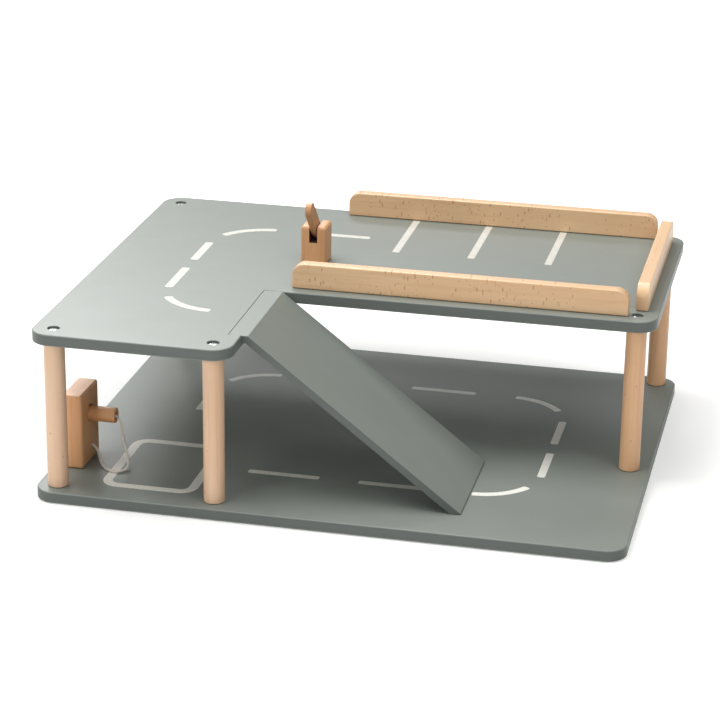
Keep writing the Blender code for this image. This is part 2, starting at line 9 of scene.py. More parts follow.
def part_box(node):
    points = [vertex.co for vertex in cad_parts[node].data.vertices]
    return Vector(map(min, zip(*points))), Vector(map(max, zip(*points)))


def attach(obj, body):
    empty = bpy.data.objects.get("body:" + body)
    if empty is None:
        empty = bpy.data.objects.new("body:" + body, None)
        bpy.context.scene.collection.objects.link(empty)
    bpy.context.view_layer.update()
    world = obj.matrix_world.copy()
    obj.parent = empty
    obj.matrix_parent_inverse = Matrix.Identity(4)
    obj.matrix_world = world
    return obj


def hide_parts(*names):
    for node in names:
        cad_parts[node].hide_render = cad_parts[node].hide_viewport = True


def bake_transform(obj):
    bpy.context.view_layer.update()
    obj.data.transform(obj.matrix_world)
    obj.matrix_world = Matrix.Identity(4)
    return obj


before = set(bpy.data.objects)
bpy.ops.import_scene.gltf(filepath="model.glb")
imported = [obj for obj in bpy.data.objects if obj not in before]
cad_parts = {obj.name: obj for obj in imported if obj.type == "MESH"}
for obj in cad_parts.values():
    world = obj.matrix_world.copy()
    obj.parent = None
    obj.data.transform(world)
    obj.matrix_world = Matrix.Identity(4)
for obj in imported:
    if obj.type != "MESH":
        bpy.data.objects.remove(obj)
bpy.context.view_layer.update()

body = "garage"
weldDistance = 1e-6
crispAngle = math.radians(32)
touchGap = 0.0003      # between a piece and the one that it is fitted to
overcut = 0.001        # how far a cutter passes a face


def cornersOf(node):
    low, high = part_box(node)
    return Vector(low), Vector(high)


cameraSetup = {
    "place": (0.38354, -1.79225, 0.75817),
    "turn": (69.4124, -0.7577, 12.7335),
    "lens": 123.0,
    "sensor": 36,
    "clip": (0.05, 40),
}


def placeObject(name, data):
    made = bpy.data.objects.new(name, data)
    bpy.context.scene.collection.objects.link(made)
    return made


def makeCamera(setup):
    data = bpy.data.cameras.new("camera")
    data.lens = setup["lens"]
    data.sensor_width = setup["sensor"]
    data.clip_start, data.clip_end = setup["clip"]
    camera = placeObject("camera", data)
    camera.location = setup["place"]
    camera.rotation_euler = [math.radians(angle) for angle in setup["turn"]]
    bpy.context.scene.camera = camera


makeCamera(cameraSetup)
print("camera placed")


def fromHex(text):
    channels = [int(text[place:place + 2], 16) / 255 for place in (1, 3, 5)]
    linear = [c / 12.92 if c <= 0.04045 else ((c + 0.055) / 1.055) ** 2.4 for c in channels]
    return (*linear, 1.0)


def addNode(tree, kind, sockets=None, **settings):
    # a node with its settings, and with each socket's value or the socket that feeds it
    node = tree.nodes.new(kind)
    for name, value in settings.items():
        setattr(node, name, value)
    for key, value in (sockets or {}).items():
        if isinstance(value, bpy.types.NodeSocket):
            tree.links.new(value, node.inputs[key])
        else:
            node.inputs[key].default_value = value
    return node


def newMaterial(name):
    material = bpy.data.materials.new(name)
    material.use_nodes = True
    material.node_tree.nodes.clear()
    return material, material.node_tree


def millimetres(tree, turn=(0, 0, 0), shift=(0, 0, 0)):
    # object coordinates in millimetres, turned so that X runs along the grain
    place = addNode(tree, "ShaderNodeTexCoord").outputs["Object"]
    return addNode(tree, "ShaderNodeMapping", {
        "Vector": place, "Scale": (1000, 1000, 1000), "Rotation": turn, "Location": shift}).outputs["Vector"]


def stretched(tree, vector, scale):
    return addNode(tree, "ShaderNodeMapping", {"Vector": vector, "Scale": scale}).outputs["Vector"]


def math2(tree, operation, first, second=0.0):
    return addNode(tree, "ShaderNodeMath", {0: first, 1: second}, operation=operation).outputs[0]


def noise(tree, vector, scale, detail, distortion=0.0):
    return addNode(tree, "ShaderNodeTexNoise", {
        "Vector": vector, "Scale": scale, "Detail": detail, "Distortion": distortion}).outputs["Fac"]


def blendColours(tree, factor, first, second):
    return addNode(tree, "ShaderNodeMix", {0: factor, 6: first, 7: second}, data_type="RGBA").outputs[2]


def remap(tree, value, low, high, start=0.0, end=1.0):
    return addNode(tree, "ShaderNodeMapRange", {
        "Value": value, "From Min": low, "From Max": high, "To Min": start, "To Max": end}).outputs["Result"]


def bumped(tree, height, depth):
    return addNode(tree, "ShaderNodeBump", {
        "Strength": 1.0, "Distance": depth, "Height": height}).outputs["Normal"]


def surface(material, tree, colour, **sockets):
    named = {name.replace("_", " "): value for name, value in sockets.items()}
    shader = addNode(tree, "ShaderNodeBsdfPrincipled", {"Base Color": colour, **named})
    addNode(tree, "ShaderNodeOutputMaterial", {"Surface": shader.outputs["BSDF"]})
    return material


# Fibreboard sprayed with grey-green satin lacquer: an even film with a faint orange peel.
# The sawn edges drink more of it, so they are duller; their colour is also darker, as painted shade on the
# boards' side faces.
boardPaint = {
    "colour": "#868C86",
    "cloudColour": "#828881",
    "edgeColour": "#666C68",
    "cloudSize": 70.0,       # mm across the uneven film's clouds
    "peelSize": 1.3,         # mm across the orange peel's dimples
    "peelDepth": 0.000008,
    "roughness": 0.40,
    "edgeRoughness": 0.42,
    "gloss": 0.30,
}


def sprayedLacquer(setup):
    material, tree = newMaterial("sprayedLacquerOnFibreboard")
    place = millimetres(tree)
    clouds = noise(tree, place, 1 / setup["cloudSize"], 3.0)
    peel = noise(tree, place, 1 / setup["peelSize"], 1.0)
    film = blendColours(tree, remap(tree, clouds, 0.35, 0.65),
                        fromHex(setup["colour"]), fromHex(setup["cloudColour"]))
    facing = addNode(tree, "ShaderNodeSeparateXYZ", {
        "Vector": addNode(tree, "ShaderNodeNewGeometry").outputs["True Normal"]}).outputs["Z"]
    # side faces take the darker edge colour: partly the lacquer soaking in, partly painted shade
    edge = remap(tree, math2(tree, "ABSOLUTE", facing), 0.05, 0.35, 1.0, 0.0)
    colour = blendColours(tree, edge, film, fromHex(setup["edgeColour"]))
    sheen = remap(tree, edge, 0.0, 1.0, setup["roughness"], setup["edgeRoughness"])
    rough = math2(tree, "ADD", sheen, remap(tree, clouds, 0.3, 0.7, -0.02, 0.02))
    return surface(material, tree, colour, Roughness=rough, Normal=bumped(tree, peel, setup["peelDepth"]),
                   Specular_IOR_Level=setup["gloss"])


# Off-white road paint, screen printed: a thin, opaque film, slightly uneven where the mesh let it through.
# The storey's lines take a darker copy of the same paint, as painted shade.
linePaint = {
    "colour": "#F2F0E6",
    "thinColour": "#E4E2D7",
    "patchSize": 2.2,        # mm across a patch where the film is thin
    "patchDepth": 0.00001,
    "roughness": 0.5,
}
shadedLinePaint = dict(linePaint, colour="#CFCDC2", thinColour="#BEBCB1")


def screenPrintedPaint(name, setup):
    material, tree = newMaterial(name)
    patches = noise(tree, millimetres(tree), 1 / setup["patchSize"], 3.0)
    colour = blendColours(tree, remap(tree, patches, 0.45, 0.75),
                          fromHex(setup["colour"]), fromHex(setup["thinColour"]))
    return surface(material, tree, colour, Roughness=setup["roughness"],
                   Normal=bumped(tree, patches, setup["patchDepth"]))


# Beech, planed, sanded and clear lacquered: pale tan with faint growth streaks. The short brown flecks of
# its rays stand across the length of a rail's face and lie along a dowel.
paleBeech = {
    "light": "#F0CBA1",
    "deep": "#E7BC90",
    "streakColour": "#CFA073",
    "fleck": "#B0683C",
    "roughness": 0.36,
}
rosyBeech = {
    "light": "#F1CDAE",
    "deep": "#E9BF9B",
    "streakColour": "#D3A47F",
    "fleck": "#A0714E",
    "roughness": 0.38,
}
warmBeech = dict(rosyBeech, light="#F1C196", deep="#E9B485", streakColour="#D39A6D")
deepBeech = {
    "light": "#E8B180",
    "deep": "#DCA06C",
    "streakColour": "#C48652",
    "fleck": "#8A5A36",
    "roughness": 0.40,
}
darkBeech = {
    "light": "#D29D70",
    "deep": "#C08A5E",
    "streakColour": "#A06C45",
    "roughness": 0.42,
}
# how often each part of the grain repeats in a millimetre, along the grain and across it
grainPattern = {
    "clouds": (0.006, 0.035, 0.035),
    "streaks": (0.012, 0.62, 0.25),
    "streakBend": 0.4,
    "streakStrength": 0.32,
    "fibres": (0.09, 2.6, 2.6),
    "fibreStrength": 0.16,
    "fibreDepth": 0.00002,
    "groups": (0.035, 0.05, 0.05),
    "groupSwing": 1.6,
    "fleckCore": 0.35,
}
# size of a fleck's cell along the grain and across it in mm, the fleck's share of the cell, and how many
# of the cells hold one
standingFlecks = {"cell": (3.0, 20.0, 9.0), "share": 0.27, "picked": 0.62, "strength": 0.60}
dottedFlecks = {"cell": (3.2, 8.0, 3.0), "share": 0.27, "picked": 0.34, "strength": 0.50}
lyingFlecks = {"cell": (9.0, 5.0, 5.0), "share": 0.13, "picked": 0.25, "strength": 0.60}


def grainTurn(direction):
    # the turn that brings the grain's direction onto X
    return Vector(direction).rotation_difference(Vector((1, 0, 0))).to_euler()


def fleckMask(tree, place, setup):
    # spindles in some of the cells of a stretched pattern, thinned out where a soft noise is low
    cellPlace = stretched(tree, place, [1 / size for size in setup["cell"]])
    cells = addNode(tree, "ShaderNodeTexVoronoi", {"Vector": cellPlace, "Scale": 1.0, "Randomness": 1.0})
    chosen = addNode(tree, "ShaderNodeSeparateColor", {"Color": cells.outputs["Color"]}).outputs[0]
    groups = noise(tree, stretched(tree, place, grainPattern["groups"]), 1.0, 1.0)
    limit = remap(tree, groups, 0.35, 0.65, 0.0, setup["picked"] * grainPattern["groupSwing"])
    picked = math2(tree, "LESS_THAN", chosen, limit)
    core = setup["share"] * grainPattern["fleckCore"]
    spindle = remap(tree, cells.outputs["Distance"], core, setup["share"], 1.0, 0.0)
    return math2(tree, "MULTIPLY", math2(tree, "MULTIPLY", spindle, picked), setup["strength"])


def inSlot(tree, setup):
    # 1 on the walls of a saw cut along Y: in millimetres, less than half its width from its middle and
    # above its floor, with a little to spare
    place = addNode(tree, "ShaderNodeSeparateXYZ", {"Vector": millimetres(tree)}).outputs
    aside = math2(tree, "ABSOLUTE", math2(tree, "SUBTRACT", place["X"], setup["middle"]))
    near = math2(tree, "LESS_THAN", aside, setup["half"] + setup["spare"])
    above = math2(tree, "GREATER_THAN", place["Z"], setup["floor"] - setup["spare"])
    return math2(tree, "MULTIPLY", near, above)


def beech(name, grain, setup, flecks, shift=(0, 0, 0), paintedSlotShade=None):
    material, tree = newMaterial(name)
    place = millimetres(tree, grainTurn(grain), shift)
    pattern = grainPattern
    clouds = noise(tree, stretched(tree, place, pattern["clouds"]), 1.0, 2.0)
    streaks = noise(tree, stretched(tree, place, pattern["streaks"]), 1.0, 3.0, pattern["streakBend"])
    fibres = noise(tree, stretched(tree, place, pattern["fibres"]), 1.0, 2.0)
    light, deep = fromHex(setup["light"]), fromHex(setup["deep"])
    colour = blendColours(tree, remap(tree, clouds, 0.3, 0.7), light, deep)
    for mask in (remap(tree, streaks, 0.52, 0.72, 0.0, pattern["streakStrength"]),
                 remap(tree, fibres, 0.45, 0.75, 0.0, pattern["fibreStrength"])):
        colour = blendColours(tree, mask, colour, fromHex(setup["streakColour"]))
    for style in flecks:
        colour = blendColours(tree, fleckMask(tree, place, style), colour, fromHex(setup["fleck"]))
    rough = remap(tree, fibres, 0.3, 0.7, setup["roughness"] - 0.04, setup["roughness"] + 0.05)
    # the slot's walls turn dark brown: painted shade in the recess
    if paintedSlotShade:
        slotShadeMask = inSlot(tree, paintedSlotShade)
        colour = blendColours(tree, slotShadeMask, colour, fromHex(paintedSlotShade["colour"]))
        rough = math2(tree, "MAXIMUM", rough, slotShadeMask)
    return surface(material, tree, colour, Roughness=rough,
                   Normal=bumped(tree, fibres, pattern["fibreDepth"]))


# Bright zinc-plated steel: pale bluish grey, lightly brushed by the plating drum.
zincPlating = {"colour": "#C9CCCB", "dullColour": "#A9ACAB", "wearScale": 1.6, "roughness": 0.30}


def zincPlatedSteel(setup):
    material, tree = newMaterial("brightZincPlatedSteel")
    wear = noise(tree, millimetres(tree), setup["wearScale"], 4.0)
    colour = blendColours(tree, wear, fromHex(setup["colour"]), fromHex(setup["dullColour"]))
    rough = remap(tree, wear, 0.3, 0.7, setup["roughness"] - 0.06, setup["roughness"] + 0.1)
    return surface(material, tree, colour, Metallic=1.0, Roughness=rough)


# Unbleached cotton twine, twisted: matt, creamy, with darker fibres between the strands.
cottonTwine = {
    "colour": "#F6F1E6",
    "fibreColour": "#E6DDCC",
    "fibreScale": 2.5,
    "fibreDepth": 0.00008,
    "roughness": 0.9,
    "fuzz": 0.25,
}


def twistedCotton(setup):
    material, tree = newMaterial("unbleachedCottonTwine")
    fibres = noise(tree, millimetres(tree), setup["fibreScale"], 5.0)
    colour = blendColours(tree, remap(tree, fibres, 0.4, 0.7),
                          fromHex(setup["colour"]), fromHex(setup["fibreColour"]))
    return surface(material, tree, colour, Roughness=setup["roughness"],
                   Normal=bumped(tree, fibres, setup["fibreDepth"]), Sheen_Weight=setup["fuzz"])


lacquer = sprayedLacquer(boardPaint)
baseRoadPaint = screenPrintedPaint("screenPrintedRoadPaint", linePaint)
# the storey's lines get a darker copy of the road paint: painted shade
shadedDeckRoadPaint = screenPrintedPaint("thinScreenPrintedRoadPaint", shadedLinePaint)
zinc = zincPlatedSteel(zincPlating)
cotton = twistedCotton(cottonTwine)
armLean = math.radians(45)
leanDirection = (0, -math.sin(armLean), math.cos(armLean))
railBeech = beech("lacqueredBeechOfLongRails", (1, 0, 0), paleBeech, [standingFlecks, dottedFlecks])
endRailBeech = beech("lacqueredBeechOfEndRail", (0, 1, 0), paleBeech, [lyingFlecks], (40, 7, 3))
postBeech = beech("lacqueredBeechOfPosts", (0, 0, 1), rosyBeech, [lyingFlecks], (11, 3, 5))
rightPostBeech = beech("lacqueredBeechOfRightPosts", (0, 0, 1), warmBeech, [lyingFlecks], (19, 6, 5))
blockBeech = beech("lacqueredBeechOfCharger", (0, 0, 1), deepBeech, [lyingFlecks], (23, 8, 1))
plugBeech = beech("lacqueredBeechOfPegs", (1, 0, 0), deepBeech, [], (3, 5, 9))
armBeech = beech("lacqueredBeechOfBarrierArm", leanDirection, darkBeech, [], (5, 9, 2))
print("materials mixed")


def roundedOutline(corners, inset, steps):
    # (x, y, radius) corners, counterclockwise; an inset past a corner's radius leaves it square
    points = []
    for index, (x, y, radius) in enumerate(corners):
        here = Vector((x, y))
        arriving = (here - Vector(corners[index - 1][:2])).normalized()
        leaving = (Vector(corners[(index + 1) % len(corners)][:2]) - here).normalized()
        inwardBefore = Vector((-arriving.y, arriving.x))
        inwardAfter = Vector((-leaving.y, leaving.x))
        centre = here + (inwardBefore + inwardAfter) * max(radius, inset)
        if radius == 0:
            points.append(centre)
            continue
        for step in range(steps + 1):
            turn = math.pi / 2 * step / steps
            outward = -inwardBefore * math.cos(turn) - inwardAfter * math.sin(turn)
            points.append(centre + outward * max(radius - inset, 0.0))
    return points


def softPrism(corners, height, lowSoftening, highSoftening, cornerSteps=16, arrisSteps=4):
    # a plate with rounded corners and a rounded arris round each flat face
    turns = [math.pi / 2 * step / arrisSteps for step in range(arrisSteps + 1)]
    levels = [(lowSoftening * (1 - math.sin(turn)), lowSoftening * (1 - math.cos(turn))) for turn in turns]
    levels += [(highSoftening * (1 - math.sin(turn)), height - highSoftening * (1 - math.cos(turn)))
               for turn in reversed(turns)]
    shape = bmesh.new()
    rings = [[shape.verts.new((point.x, point.y, level))
              for point in roundedOutline(corners, inset, cornerSteps)] for inset, level in levels]
    for lower, upper in zip(rings, rings[1:]):
        for index, vert in enumerate(lower):
            after = (index + 1) % len(lower)
            shape.faces.new((vert, lower[after], upper[after], upper[index]))
    shape.faces.new(list(reversed(rings[0])))
    shape.faces.new(rings[-1])
    return shape


def turnedShape(profile, steps=48):
    # (radius, level) pairs spun round Z, from axis to axis
    shape = bmesh.new()
    verts = [shape.verts.new((radius, 0, level)) for radius, level in profile]
    edges = [shape.edges.new(pair) for pair in zip(verts, verts[1:])]
    bmesh.ops.spin(shape, geom=verts + edges, cent=(0, 0, 0), axis=(0, 0, 1),
                   angle=math.tau, steps=steps, use_merge=True)
    return shape


def makePiece(name, shape, matrix=Matrix()):
    bmesh.ops.remove_doubles(shape, verts=shape.verts, dist=weldDistance)
    bmesh.ops.transform(shape, matrix=matrix, verts=shape.verts)
    bmesh.ops.recalc_face_normals(shape, faces=shape.faces)
    mesh = bpy.data.meshes.new(name)
    shape.to_mesh(mesh)
    shape.free()
    return placeObject(name, mesh)


def cutAway(piece, shapes):
    # each cutter is a shape and its place
    for index, (shape, matrix) in enumerate(shapes):
        tool = makePiece(f"cutter{index}", shape, matrix)
        modifier = piece.modifiers.new("cut", "BOOLEAN")
        modifier.operation = "DIFFERENCE"
        modifier.solver = "MANIFOLD"
        modifier.object = tool
        keepEvaluated(piece)
        bpy.data.objects.remove(tool)
    shape = bmesh.new()
    shape.from_mesh(piece.data)
    bmesh.ops.dissolve_degenerate(shape, edges=shape.edges, dist=weldDistance)
    shape.to_mesh(piece.data)
    shape.free()


def keepEvaluated(piece):
    # the piece with its modifiers worked in, as a plain mesh
    mesh = bpy.data.meshes.new_from_object(piece.evaluated_get(bpy.context.evaluated_depsgraph_get()))
    if piece.type == "CURVE":
        name = piece.name
        bpy.data.objects.remove(piece)
        return placeObject(name, mesh)
    piece.modifiers.clear()
    piece.data = mesh
    return piece


def settle(piece, material, nodes, ridesOn=body):
    # smooth shading with crisp corners, and the piece's place in the frame
    piece.data.shade_smooth()
    piece.data.set_sharp_from_angle(angle=crispAngle)
    even = piece.modifiers.new("evenNormals", "WEIGHTED_NORMAL")
    even.keep_sharp = True
    keepEvaluated(piece)
    piece.data.materials.clear()
    piece.data.materials.append(material)
    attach(piece, ridesOn)
    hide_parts(*nodes)


def at(x, y, z):
    return Matrix.Translation((x, y, z))


alongX = Matrix.Rotation(math.pi / 2, 4, "Y")
standing = Matrix.Rotation(math.pi / 2, 4, "X")                     # outline's Y becomes Z
standingAlongY = Matrix.Rotation(math.pi / 2, 4, "Z") @ standing    # and its X becomes Y
upsideDown = Matrix.Rotation(math.pi, 4, "X")


def rectangle(x0, y0, x1, y1, radius):
    return [(x0, y0, radius), (x1, y0, radius), (x1, y1, radius), (x0, y1, radius)]


def squareBlock(name, node, setup, *steps):
    low, high = cornersOf(node)
    outline = rectangle(low.x, low.y, high.x, high.y, setup["cornerRadius"])
    shape = softPrism(outline, high.z - low.z, setup["footSoftening"], setup["topSoftening"], *steps)
    return makePiece(name, shape, at(0, 0, low.z))


def tube(radius, low, high):
    return turnedShape([(0, low), (radius, low), (radius, high), (0, high)], 32)


longScrew = {
    "board": 0.009, "recess": 0.0092, "recessDepth": 0.0033, "hole": 0.0042, "rim": 0.00025,
    "head": 0.0080, "headHeight": 0.0020, "shank": 0.0036, "length": 0.0280, "point": 0.004,
}
shortScrew = {
    "board": 0.009, "recess": 0.0066, "recessDepth": 0.0028, "hole": 0.0034, "rim": 0.00025,
    "head": 0.0056, "headHeight": 0.0016, "shank": 0.0028, "length": 0.0165, "point": 0.003,
}


def screwHole(kind):
    # a through hole and a round recess with a slightly broken rim; it opens upwards from the recess's floor
    hole, recess, rim = kind["hole"] / 2, kind["recess"] / 2, kind["rim"]
    deep, top = kind["board"], kind["recessDepth"]
    return turnedShape([(0, -deep), (hole, -deep), (hole, 0), (recess, 0), (recess, top - rim),
                        (recess + rim, top), (recess + rim, top + overcut), (0, top + overcut)], 40)


def fromAbove(spot, top, kind):
    return at(spot.x, spot.y, top - kind["recessDepth"])


def fromBelow(spot, bottom, kind):
    return at(spot.x, spot.y, bottom + kind["recessDepth"]) @ upsideDown


def middleOf(node):
    low, high = cornersOf(node)
    return (low + high) / 2


def holesFor(names, kind, level, seat):
    return [(screwHole(kind), seat(middleOf(name), level, kind)) for name in names]


def nodesNamed(start):
    return sorted(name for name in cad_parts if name.startswith(start))


deckScrews = nodesNamed("deck_screw_")
baseScrews = nodesNamed("base_screw_")
deckUnderScrews = nodesNamed("rail_screw_") + ["barrier_screw"]
baseUnderScrews = nodesNamed("charger_screw_")

boards = {
    "cornerRadius": 0.016,
    "footSoftening": 0.001,
    "topSoftening": 0.001,
    "wingLength": 0.155,
    "wingDepth": 0.140,
    "rebateCorner": 0.0002,
}
baseLow, baseHigh = cornersOf("base_board")
deckLow, deckHigh = cornersOf("upper_deck")
rampLow, rampHigh = cornersOf("ramp")
wingEdge = deckLow.x + boards["wingLength"]
longEdge = deckLow.y + boards["wingDepth"]


def makeBase(setup):
    base = squareBlock("baseBoard", "base_board", setup)
    cutAway(base, holesFor(baseScrews, longScrew, baseLow.z, fromBelow)
            + holesFor(baseUnderScrews, shortScrew, baseLow.z, fromBelow))
    settle(base, lacquer, ["base_board"])


def makeDeck(setup):
    radius = setup["cornerRadius"]
    corners = [(deckLow.x, deckLow.y, radius), (wingEdge, deckLow.y, radius), (wingEdge, longEdge, 0),
               (deckHigh.x, longEdge, radius), (deckHigh.x, deckHigh.y, radius),
               (deckLow.x, deckHigh.y, radius)]
    shape = softPrism(corners, deckHigh.z - deckLow.z, setup["footSoftening"], setup["topSoftening"])
    deck = makePiece("upperDeck", shape, at(0, 0, deckLow.z))
    # the rebate that takes the ramp's lip
    floor = deckHigh.z - rampBoard["thickness"] - touchGap
    outline = rectangle(rampLow.x - touchGap, rampLow.y - touchGap, wingEdge + 2 * overcut,
                        rampHigh.y + touchGap, setup["rebateCorner"])
    rebate = softPrism(outline, deckHigh.z + 2 * overcut - floor, 0, 0, 2, 1)
    cutAway(deck, holesFor(deckScrews, longScrew, deckHigh.z, fromAbove)
            + holesFor(deckUnderScrews, shortScrew, deckLow.z, fromBelow) + [(rebate, at(0, 0, floor))])
    settle(deck, lacquer, ["upper_deck"])


rampBoard = {"thickness": 0.006, "lip": 0.015, "nose": 0.001, "softening": 0.0004, "hardAngle": 20}


def makeRamp(setup):
    # one bent profile: a level lip, the slope, and a toe cut flat to lie on the base
    bend = rampLow.x + setup["lip"]
    toeTop = rampLow.z + setup["nose"]
    slope = math.atan2(rampHigh.z - toeTop, rampHigh.x - bend)
    underBend = bend - setup["thickness"] * math.tan(slope / 2)
    lipUnder = rampHigh.z - setup["thickness"]
    heel = underBend + (lipUnder - rampLow.z) / math.tan(slope)
    profile = [(rampLow.x, lipUnder), (underBend, lipUnder), (heel, rampLow.z), (rampHigh.x, rampLow.z),
               (rampHigh.x, toeTop), (bend, rampHigh.z), (rampLow.x, rampHigh.z)]
    shape = bmesh.new()
    face = shape.faces.new([shape.verts.new((x, z, 0)) for x, z in profile])
    grown = bmesh.ops.extrude_face_region(shape, geom=[face])
    moved = [item for item in grown["geom"] if isinstance(item, bmesh.types.BMVert)]
    bmesh.ops.translate(shape, vec=(0, 0, rampHigh.y - rampLow.y), verts=moved)
    bmesh.ops.recalc_face_normals(shape, faces=shape.faces)
    hard = [edge for edge in shape.edges if edge.calc_face_angle(0) > math.radians(setup["hardAngle"])]
    bmesh.ops.bevel(shape, geom=hard, offset=setup["softening"], segments=3, profile=0.5,
                    affect="EDGES", clamp_overlap=True)
    ramp = makePiece("rampBoard", shape, at(0, rampHigh.y, 0) @ standing)
    settle(ramp, lacquer, ["ramp"], ridesOn="ramp")


makeBase(boards)
makeDeck(boards)
makeRamp(rampBoard)
print("boards cut")

post = {"softening": 0.0007}


def makePost(node, setup):
    low, high = cornersOf(node)
    words = node.split("_")
    name = words[0] + "".join(word.title() for word in words[1:])
    radius = (high.x - low.x) / 2
    soft = setup["softening"]
    length = high.z - low.z
    arc = [(radius - soft + soft * math.sin(turn), soft - soft * math.cos(turn))
           for turn in (math.radians(angle) for angle in range(0, 91, 30))]
    profile = [(0, 0)] + arc + [(r, length - z) for r, z in reversed(arc)] + [(0, length)]
    piece = makePiece(name, turnedShape(profile, 64),
                      at((low.x + high.x) / 2, (low.y + high.y) / 2, low.z))
    settle(piece, rightPostBeech if "right" in words else postBeech, [node])


for postName in nodesNamed("post_"):
    makePost(postName, post)
print("posts turned")

rail = {"topRadius": 0.0098, "footRadius": 0.001, "softening": 0.001}


def makeRail(node, setup):
    low, high = cornersOf(node)
    size = high - low
    deep = size.y > size.x
    length, thickness = max(size.x, size.y), min(size.x, size.y)
    top, foot, soft = setup["topRadius"], setup["footRadius"], setup["softening"]
    corners = [(0, 0, foot), (length, 0, foot), (length, size.z, top), (0, size.z, top)]
    shape = softPrism(corners, thickness, soft, soft, 14, 3)
    matrix = at(low.x, low.y, low.z) @ standingAlongY if deep else at(low.x, high.y, low.z) @ standing
    name = node.split("_")[1] + "Rail"
    settle(makePiece(name, shape, matrix), endRailBeech if deep else railBeech, [node])


for railName in ("rail_front", "rail_back", "rail_end"):
    makeRail(railName, rail)
print("rails shaped")

barrier = {
    "cornerRadius": 0.0019,
    "topSoftening": 0.0028,
    "footSoftening": 0.0008,
    "slotWidth": 0.0065,
    "slotDepth": 0.0135,
    "slotCorner": 0.0002,
    # dark brown on the slot's walls: painted shade
    "scorch": "#5A2E1A",
    "armWidth": 0.012,
    "armLength": 0.045,
    "armSoftening": 0.0005,
    "pinRadius": 0.002,
    "pinRim": 0.0003,
}


def makeBarrier(setup):
    low, high = cornersOf("barrier_block")
    middle = (low + high) / 2
    half = setup["slotWidth"] / 2
    floor = high.z - setup["slotDepth"]
    # the walls of the slot are painted dark brown: painted shade in the slot
    slotBeech = beech("lacqueredBeechOfBarrierBlock", (0, 0, 1), deepBeech, [lyingFlecks], (61, 8, 1), {
        "middle": middle.x * 1000, "half": half * 1000, "floor": floor * 1000, "spare": 0.05,
        "colour": setup["scorch"]})
    block = squareBlock("barrierBlock", "barrier_block", setup, 6, 5)
    slotOutline = rectangle(middle.x - half, low.y - 2 * overcut, middle.x + half, high.y + 2 * overcut,
                            setup["slotCorner"])
    slot = softPrism(slotOutline, setup["slotDepth"] + 2 * overcut, 0, 0, 2, 1)
    pinLow, pinHigh = cornersOf("barrier_pin")
    pivot = (pinLow + pinHigh) / 2
    radius, rim, length = setup["pinRadius"], setup["pinRim"], pinHigh.x - pinLow.x
    pinPlace = at(pinLow.x, pivot.y, pivot.z) @ alongX
    hole = tube(radius + touchGap, -3 * overcut, length + touchGap)
    cutAway(block, [(slot, at(0, 0, floor)), (hole, pinPlace)])
    settle(block, slotBeech, ["barrier_block"])

    pin = turnedShape([(0, 0), (radius - rim, 0), (radius, rim), (radius, length), (0, length)], 32)
    settle(makePiece("barrierPin", pin, pinPlace), plugBeech, ["barrier_pin"])

    armLow, armHigh = cornersOf("barrier_arm")
    thickness = armHigh.x - armLow.x
    wide, soft = setup["armWidth"] / 2, setup["armSoftening"]
    outline = rectangle(-wide, -wide, wide, setup["armLength"] - wide, wide)
    armPlace = at(armLow.x, pivot.y, pivot.z)
    arm = makePiece("barrierArm", softPrism(outline, thickness, soft, soft, 18, 3),
                    armPlace @ Matrix.Rotation(armLean, 4, "X") @ standingAlongY)
    cutAway(arm, [(tube(radius + touchGap, -overcut, thickness + overcut), armPlace @ alongX)])
    settle(arm, armBeech, ["barrier_arm"], ridesOn="barrier_arm")


makeBarrier(barrier)
print("barrier fitted")

charger = {
    "cornerRadius": 0.0018,
    "footSoftening": 0.0020,
    "topSoftening": 0.0020,
    "socket": 0.0134,        # the plug lies on its lower side
    "socketDepth": 0.010,
    "rim": 0.0004,           # the broken edge of the socket and of the plug's recess
    "cordHole": 0.0026,
    "cordHoleDepth": 0.004,
    "cordHolePlace": (-0.1115, 0.0213),
    "plugRecess": 0.0065,
    "plugRecessDepth": 0.004,
    "plugSoftening": 0.0006,
}


def makeCharger(setup):
    face = cornersOf("charger_block")[1].x
    block = squareBlock("chargerBlock", "charger_block", setup, 6, 4)
    plugLow, plugHigh = cornersOf("charger_plug")
    middle = (plugLow + plugHigh) / 2
    radius = (plugHigh.z - plugLow.z) / 2
    wide, deep, rim = setup["socket"] / 2, setup["socketDepth"], setup["rim"]
    socket = turnedShape([(0, -deep), (wide, -deep), (wide, -rim), (wide + rim, 0), (wide + rim, overcut),
                          (0, overcut)])
    socketLevel = middle.z - radius - touchGap + wide
    cordHole = tube(setup["cordHole"] / 2, -setup["cordHoleDepth"], overcut)
    cutAway(block, [(socket, at(face, middle.y, socketLevel) @ alongX),
                    (cordHole, at(face, *setup["cordHolePlace"]) @ alongX)])
    settle(block, blockBeech, ["charger_block"])

    length = plugHigh.x - plugLow.x
    inner, floor = setup["plugRecess"] / 2, length - setup["plugRecessDepth"]
    soft = setup["plugSoftening"]
    part = 0.2 * soft
    plug = turnedShape([(0, 0), (radius - soft, 0), (radius - part, part), (radius, soft),
                        (radius, length - soft), (radius - part, length - part), (radius - soft, length),
                        (inner + rim, length), (inner, length - rim), (inner, floor), (0, floor)], 56)
    settle(makePiece("chargerPlug", plug, at(plugLow.x, middle.y, middle.z) @ alongX), plugBeech,
           ["charger_plug"], ridesOn="charger_plug")


makeCharger(charger)
print("charging post bored")

